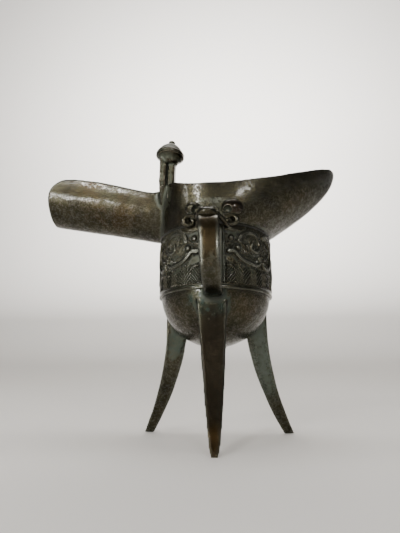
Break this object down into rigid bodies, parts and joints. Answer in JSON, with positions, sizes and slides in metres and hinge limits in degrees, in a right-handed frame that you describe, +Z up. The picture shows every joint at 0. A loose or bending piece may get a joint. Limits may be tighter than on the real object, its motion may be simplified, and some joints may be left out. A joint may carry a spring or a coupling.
{
  "type": "bronze jue wine vessel",
  "caption": "Cast bronze jue on sabre legs: deep bowl with a carved mask band, open flow, pointed tail, strap handle with an animal head, and a capped post.",
  "frame": {"origin": "centre of the bounding box, on the surface that the three feet stand on", "axes": "+Z up; +X towards the tail, the flow points along -X; the handle faces -Y"},
  "size_m": [0.173, 0.0832, 0.167],
  "materials": {
    "bronze": "cast bronze, dark olive-brown and worn, with verdigris in the recesses"
  },
  "bodies": {
    "root": {"jue_vessel": "bronze"}
  },
  "joints": []
}
